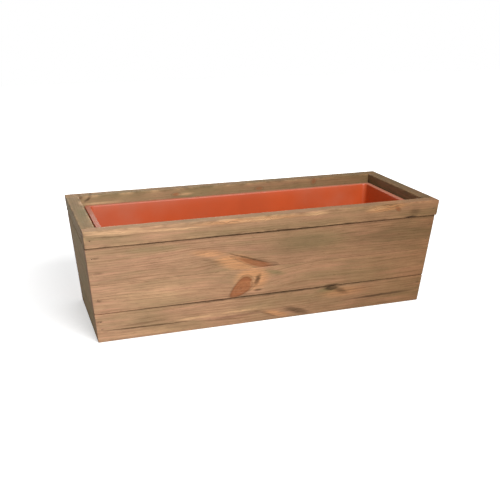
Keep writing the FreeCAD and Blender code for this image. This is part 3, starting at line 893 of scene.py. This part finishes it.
# ---- the liner ---------------------------------------------------------------------------
LIP_CORNER = 8.5 * MM        # radius of the lip's corners
KNOCKOUT_RADIUS = 5.6 * MM   # thinned discs in the floor that can be opened as drains
KNOCKOUT_SLOPE = 0.5 * MM
KNOCKOUT_DEPTH = 1.0 * MM
KNOCKOUT_APART = 3           # two discs lie further apart than so many radii
UPRIGHT = 0.99               # a face whose normal rises more than this is level
LIP_SEGMENTS = 8
LIP_FLAT = 0.4 * MM          # the lip's flat top lies within this depth
SKIRT_FACE = 0.1 * MM        # the skirt's points lie this near to the liner's end
FLOOR_RING = 20 * MM         # width of the outermost ring of the floor's mesh
STRAIGHT = 4                 # a straight run of the lip is longer than so many cells
BOW_WAVE = 0.13              # the walls bow unevenly over about this length
BOW_SEEDS = (5.3, 0.4)
BOW_SPREAD = 6               # the larger, the nearer to the corners a wall still bows
BOW_OUTSIDE = 0.6            # the share of the half width outside which the points are bowed
CLOUDS, FILM, GRIT, TEXTURE = 0.11, 0.07, 0.011, 0.0015    # sizes of the plastic's patterns
CLEANEST = 0.02              # the walls are cleanest here along the box
DUST_RISE = (0.06, 0.27)     # and dustier between these distances from there
RIGHT_WALL = (0.258, 0.268)  # the wall beyond this is clean


def moulded_polypropylene():
    """Injection-moulded terracotta polypropylene.

    It is satin and evenly coloured through. Dry dust lies in soft clouds on its walls. The top of
    the lip is painted paler and mottled: partly dust, partly painted sheen where the light catches
    it.
    """
    liner = bpy.context.scene.planter_liner
    material, tree, shader = new_material("moulded_polypropylene_terracotta")
    place = add(tree, "TexCoord", out="Object")
    cloud = add(tree, "TexNoise", {"Vector": place, "Scale": 1 / CLOUDS, "Detail": 3.0})
    shade = add(tree, "MapRange", (cloud, 0.3, 0.7, 0.88, 1.1))
    colour = add(tree, "Mix", {"Factor": 1.0, "A": rgba(liner.colour), "B": shade},
                 out="Result", data_type="RGBA", blend_type="MULTIPLY")
    film = add(tree, "TexNoise", {"Vector": place, "Scale": 1 / FILM, "Detail": 4.0})
    film = add(tree, "MapRange", (film, 0.36, 0.66, 0.0, 0.4))
    run = add(tree, "SeparateXYZ", (place,))
    off_centre = add(tree, "Math", (run, CLEANEST), operation="SUBTRACT")
    off_centre = add(tree, "Math", (off_centre,), operation="ABSOLUTE")
    dusty_end = add(tree, "MapRange", (off_centre, *DUST_RISE, 0.06, 1.0))
    film = add(tree, "Math", (film, dusty_end), operation="MULTIPLY")
    end_wall = add(tree, "MapRange", (run, *RIGHT_WALL, 1.0, 0.0))
    film = add(tree, "Math", (film, end_wall), operation="MULTIPLY")
    grit = add(tree, "TexNoise", {"Vector": place, "Scale": 1 / GRIT, "Detail": 4.0})
    grit = add(tree, "MapRange", (grit, 0.3, 0.65, 0.5, 1.0))
    # the lip's top: mottled dust and painted sheen
    lip = add(tree, "Attribute", out="Fac", attribute_name="lip")
    dust_and_sheen = add(tree, "Math", (lip, grit), operation="MULTIPLY")
    dust_and_sheen = add(tree, "Math", (dust_and_sheen, film), operation="MAXIMUM")
    colour = add(tree, "Mix", {"Factor": dust_and_sheen, "A": colour, "B": rgba(liner.dust)},
                 out="Result", data_type="RGBA")
    rough = add(tree, "MapRange", (dust_and_sheen, 0.0, 1.0, 0.38, 0.62))
    fine = add(tree, "TexNoise", {"Vector": place, "Scale": 1 / TEXTURE, "Detail": 2.0})
    bump = add(tree, "Bump", {"Height": fine, "Strength": 0.15, "Distance": 0.1 * MM})
    plug(shader, {"Base Color": colour, "Roughness": rough, "Normal": bump})
    return material


def facing_planes(node, middle):
    """The largest face that looks inwards on each side and up, as its normal and distance."""
    found = {}
    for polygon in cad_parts[node].data.polygons:
        normal = polygon.normal
        axis = max((X, Y, Z), key=lambda a: abs(normal[a]))
        inward = normal[axis] * (middle[axis] - polygon.center[axis]) > 0
        if not inward:
            continue
        key = axis, 1 if polygon.center[axis] > middle[axis] else -1
        if key not in found or polygon.area > found[key][0]:
            found[key] = polygon.area, normal.copy(), normal.dot(polygon.center)
    return {key: value[1:] for key, value in found.items()}


def rounded_path(keys, reaches, cell):
    """Points along a path with its corners rounded, a cell apart on the straight runs."""
    stations = [keys[0]]
    for before, point, after, reach in zip(keys, keys[1:], keys[2:], reaches):
        start = point + (before - point).normalized() * reach
        end = point + (after - point).normalized() * reach
        steps = max(1, round((start - stations[-1]).length / cell))
        stations += [stations[-1].lerp(start, step / steps) for step in range(1, steps + 1)]
        for share in (0.25, 0.5, 0.75, 1.0):
            stations.append(start.lerp(point, share).lerp(point.lerp(end, share), share))
    return stations + [keys[-1]]


def lip_outline(outer, cell):
    """A bmesh with the lip's outline, its corners rounded and its straight runs cut."""
    bm = bmesh.new()
    bmesh.ops.create_grid(bm, x_segments=1, y_segments=1, size=1.0)
    bmesh.ops.scale(bm, vec=(outer.x, outer.y, 1), verts=bm.verts)
    bmesh.ops.bevel(bm, geom=bm.verts[:], offset=LIP_CORNER, segments=LIP_SEGMENTS,
                    profile=0.5, affect="VERTICES", material=-1)
    bmesh.ops.delete(bm, geom=bm.faces[:], context="FACES_ONLY")
    for axis in (X, Y):
        edges = [edge for edge in edges_along(bm, axis)
                 if edge.calc_length() > STRAIGHT * cell]
        cuts = round(edges[0].calc_length() / cell) - 1
        bmesh.ops.subdivide_edges(bm, edges=edges, cuts=cuts)
    return bm


def sweep_skin(bm, rings, middle, lip_from):
    """Carries an outline through the rings, each its half length, half depth and height."""
    lip = bm.verts.layers.float["lip"]
    ring = bm.edges[:]
    for before, after in zip(rings, rings[1:]):
        made = bmesh.ops.extrude_edge_only(bm, edges=ring)["geom"]
        points = [item for item in made if isinstance(item, bmesh.types.BMVert)]
        ring = [item for item in made if isinstance(item, bmesh.types.BMEdge)
                and item.verts[0] in points and item.verts[1] in points]
        bmesh.ops.scale(bm, vec=(after.x / before.x, after.y / before.y, 1), verts=points,
                        space=Matrix.Translation(-middle))
        bmesh.ops.translate(bm, vec=(0, 0, after.z - before.z), verts=points)
        for vertex in points:
            vertex[lip] = 1.0 if after.z > lip_from else 0.0
    bmesh.ops.contextual_create(bm, geom=ring)
    bmesh.ops.remove_doubles(bm, verts=bm.verts, dist=TOUCHING)
    bmesh.ops.recalc_face_normals(bm, faces=bm.faces)
    bm.normal_update()
    if max(bm.faces, key=lambda face: face.calc_area()).normal.z < 0:
        bmesh.ops.reverse_faces(bm, faces=bm.faces)


def bow_walls(bm, middle, outer, bow):
    """Bows the thin walls inwards between the corners, and the lip with them."""
    for vertex in bm.verts:
        away = vertex.co - middle
        free = {X: 1 - abs(away.y / outer.y) ** BOW_SPREAD,
                Y: 1 - abs(away.x / outer.x) ** BOW_SPREAD}
        for axis, other in ((X, Y), (Y, X)):
            side = 1 if away[axis] > 0 else -1
            if abs(away[axis]) > BOW_OUTSIDE * outer[axis]:
                place = Vector((away[other] / BOW_WAVE, side * BOW_SEEDS[0], BOW_SEEDS[1]))
                wave = 0.5 + 0.5 * noise.noise(place)
                vertex.co[axis] -= side * bow * wave * max(0.0, free[axis])


def knockouts(mesh, floor):
    """The middles of the thinned discs in the liner's floor, on its surface."""
    discs = []
    for polygon in mesh.polygons:
        drop = floor - polygon.center.z
        if polygon.normal.z < UPRIGHT or abs(drop - KNOCKOUT_DEPTH) > KNOCKOUT_DEPTH / 2:
            continue
        points = [mesh.vertices[index].co for index in polygon.vertices]
        near = [disc for disc in discs
                if (disc[0] - polygon.center).length < KNOCKOUT_APART * KNOCKOUT_RADIUS]
        if near:
            near[0].extend(points)
        else:
            discs.append(points)
    middles = []
    for points in discs:
        x, y = ((min(values) + max(values)) / 2
                for values in zip(*(point.to_2d() for point in points)))
        middles.append(Vector((x, y, floor)))
    return middles


class PLANTER_OT_liner(bpy.types.Operator):
    """Make the lift-out plastic liner"""
    bl_idname = "planter.liner"
    bl_label = "Liner"

    def execute(self, context):
        liner = context.scene.planter_liner
        low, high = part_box("liner")
        middle = (low + high) / 2
        planes = facing_planes("liner", middle)
        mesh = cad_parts["liner"].data
        floor = planes[Z, -1][1] / planes[Z, -1][0].z
        foot = min(vertex.co.z for vertex in mesh.vertices if vertex.co.x > high.x - SKIRT_FACE)

        def inside(z):
            """Half the length and depth of the hollow at a height."""
            half = []
            for axis in (X, Y):
                normal, distance = planes[axis, 1]
                half.append((distance - normal.z * z) / normal[axis] - middle[axis])
            return Vector((*half, z))

        outer = Vector((high.x - middle.x, high.y - middle.y, high.z))
        floor_edge = inside(floor)
        keys = [Vector((outer.x, outer.y, foot)), outer, inside(high.z), floor_edge,
                floor_edge - Vector((FLOOR_RING, FLOOR_RING, 0))]
        rings = rounded_path(keys, (liner.lip_round, liner.lip_round, liner.floor_round),
                             liner.cell)

        bm = lip_outline(outer, liner.cell)
        bm.verts.layers.float.new("lip")
        bmesh.ops.translate(bm, vec=(middle.x, middle.y, foot), verts=bm.verts)
        sweep_skin(bm, rings, middle, high.z - LIP_FLAT)
        bow_walls(bm, middle, outer, liner.bow)
        bmesh.ops.solidify(bm, geom=bm.faces[:], thickness=liner.thickness)
        up = Vector((0, 0, 1))
        centres = knockouts(mesh, floor)
        for centre in centres:
            cut_round(bm, centre, KNOCKOUT_RADIUS, KNOCKOUT_SLOPE, Z, up, outer.x)
        for centre in centres:
            press_disc(bm, centre, KNOCKOUT_RADIUS, KNOCKOUT_SLOPE, KNOCKOUT_DEPTH, Z, up)
        finish_piece(bm, "liner_moulding", "liner",
                     moulded_polypropylene(), "liner", smooth=40)
        return {"FINISHED"}


# ---- the stage ---------------------------------------------------------------------------
CAMERA_PLACE = (-0.44476, -1.30739, 0.55080)
CAMERA_PITCH = 71.913        # degrees from looking straight down
CAMERA_YAW = -18.819         # degrees towards the box's right end
FLOOR_SIZE = 8.0
FLOOR_GLOW = 0.5             # brightness added to the floor's picture beside the box
FLOOR_FADE = (0.4, 1.0)      # the floor turns to plain white between these distances
# name, place, width and height of each light
LIGHTS = (("key", (0.2, -1.55, 1.25), (1.1, 0.9)),
          ("fill", (0.1, 0.8, 1.7), (1.4, 1.4)),
          ("back", (0.12, 1.9, 0.4), (1.4, 0.5)))


def area_light(name, place, target, size, power):
    """A large soft light, aimed at a point."""
    lamp = bpy.data.lights.new(name, "AREA")
    lamp.shape = "RECTANGLE"
    lamp.size, lamp.size_y = size
    lamp.energy = power
    light = bpy.data.objects.new(name, lamp)
    light.location = place
    light.rotation_euler = (Vector(target) - Vector(place)).to_track_quat("-Z", "Y").to_euler()
    bpy.context.collection.objects.link(light)


def background_rays(tree):
    """1 for the rays that show the background itself or mirror it."""
    camera, glossy, transmission = (add(tree, "LightPath", out=name) for name in (
        "Is Camera Ray", "Is Glossy Ray", "Is Transmission Ray"))
    seen = add(tree, "Math", (camera, glossy), operation="MAXIMUM")
    return add(tree, "Math", (seen, transmission), operation="MAXIMUM")


class PLANTER_OT_stage(bpy.types.Operator):
    """Make the floor, the lights and the camera"""
    bl_idname = "planter.stage"
    bl_label = "Stage"

    def execute(self, context):
        stage = context.scene.planter_stage
        bm = bmesh.new()
        bmesh.ops.create_grid(bm, x_segments=1, y_segments=1, size=FLOOR_SIZE / 2)
        mesh = bpy.data.meshes.new("floor")
        bm.to_mesh(mesh)
        bm.free()
        material, tree, shader = new_material("matt_white_floor")
        rays = background_rays(tree)
        colour = add(tree, "Mix", {"Factor": rays, "A": rgba(stage.floor_bounce),
                                   "B": rgba(stage.floor_colour)}, out="Result", data_type="RGBA")
        place = add(tree, "TexCoord", out="Object")
        away = add(tree, "VectorMath", (place,), out="Value", operation="LENGTH")
        glow = add(tree, "MapRange", (away, *FLOOR_FADE, FLOOR_GLOW, 1.0),
                   interpolation_type="SMOOTHSTEP")
        glow = add(tree, "Math", (rays, glow), operation="MULTIPLY")
        plug(shader, {"Base Color": colour, "Roughness": 0.9, "Specular IOR Level": 0.0,
                      "Emission Color": (1, 1, 1, 1), "Emission Strength": glow})
        mesh.materials.append(material)
        floor = bpy.data.objects.new("floor", mesh)
        context.collection.objects.link(floor)
        floor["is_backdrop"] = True

        world = bpy.data.worlds.new("studio")
        world.use_nodes = True
        tree = world.node_tree
        strength = add(tree, "MapRange", (background_rays(tree), 0.0, 1.0, stage.sky, 1.0))
        plug(tree.nodes["Background"], {"Color": (1, 1, 1, 1), "Strength": strength})
        context.scene.world = world

        low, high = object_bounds()
        middle = (low + high) / 2
        for name, place, size in LIGHTS:
            area_light(name, place, middle, size, getattr(stage, f"{name}_power"))

        lens = bpy.data.cameras.new("camera")
        lens.lens = stage.focal_length
        lens.sensor_width = stage.sensor_width
        camera = bpy.data.objects.new("camera", lens)
        camera.location = CAMERA_PLACE
        camera.rotation_euler = (math.radians(CAMERA_PITCH), 0, math.radians(CAMERA_YAW))
        context.collection.objects.link(camera)
        context.scene.camera = camera
        context.scene.view_settings.view_transform = "Standard"
        return {"FINISHED"}


# ---- the panel and the run ---------------------------------------------------------------
OPERATORS = (PLANTER_OT_boards, PLANTER_OT_rails, PLANTER_OT_inner_frame,
             PLANTER_OT_fasteners, PLANTER_OT_liner, PLANTER_OT_stage)
SETTINGS = {"planter_wood": PlanterWood, "planter_liner": PlanterLiner,
            "planter_fasteners": PlanterFasteners, "planter_stage": PlanterStage}


class PLANTER_PT_panel(bpy.types.Panel):
    bl_label = "Window Box Planter"
    bl_idname = "PLANTER_PT_panel"
    bl_space_type = "VIEW_3D"
    bl_region_type = "UI"
    bl_category = "Planter"

    def draw(self, context):
        for name, group in SETTINGS.items():
            box = self.layout.box()
            for setting in group.__annotations__:
                box.prop(getattr(context.scene, name), setting)
        for operator in OPERATORS:
            self.layout.operator(operator.bl_idname)


def register():
    for group in (*SETTINGS.values(), *OPERATORS, PLANTER_PT_panel):
        bpy.utils.register_class(group)
    for name, group in SETTINGS.items():
        setattr(bpy.types.Scene, name, PointerProperty(type=group))


def unregister():
    for name in SETTINGS:
        delattr(bpy.types.Scene, name)
    for group in reversed((*SETTINGS.values(), *OPERATORS, PLANTER_PT_panel)):
        bpy.utils.unregister_class(group)


def main():
    register()
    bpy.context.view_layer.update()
    bpy.ops.planter.boards()
    bpy.ops.planter.rails()
    bpy.ops.planter.inner_frame()
    bpy.ops.planter.fasteners()
    bpy.ops.planter.liner()
    bpy.ops.planter.stage()


if __name__ == "__main__":
    main()
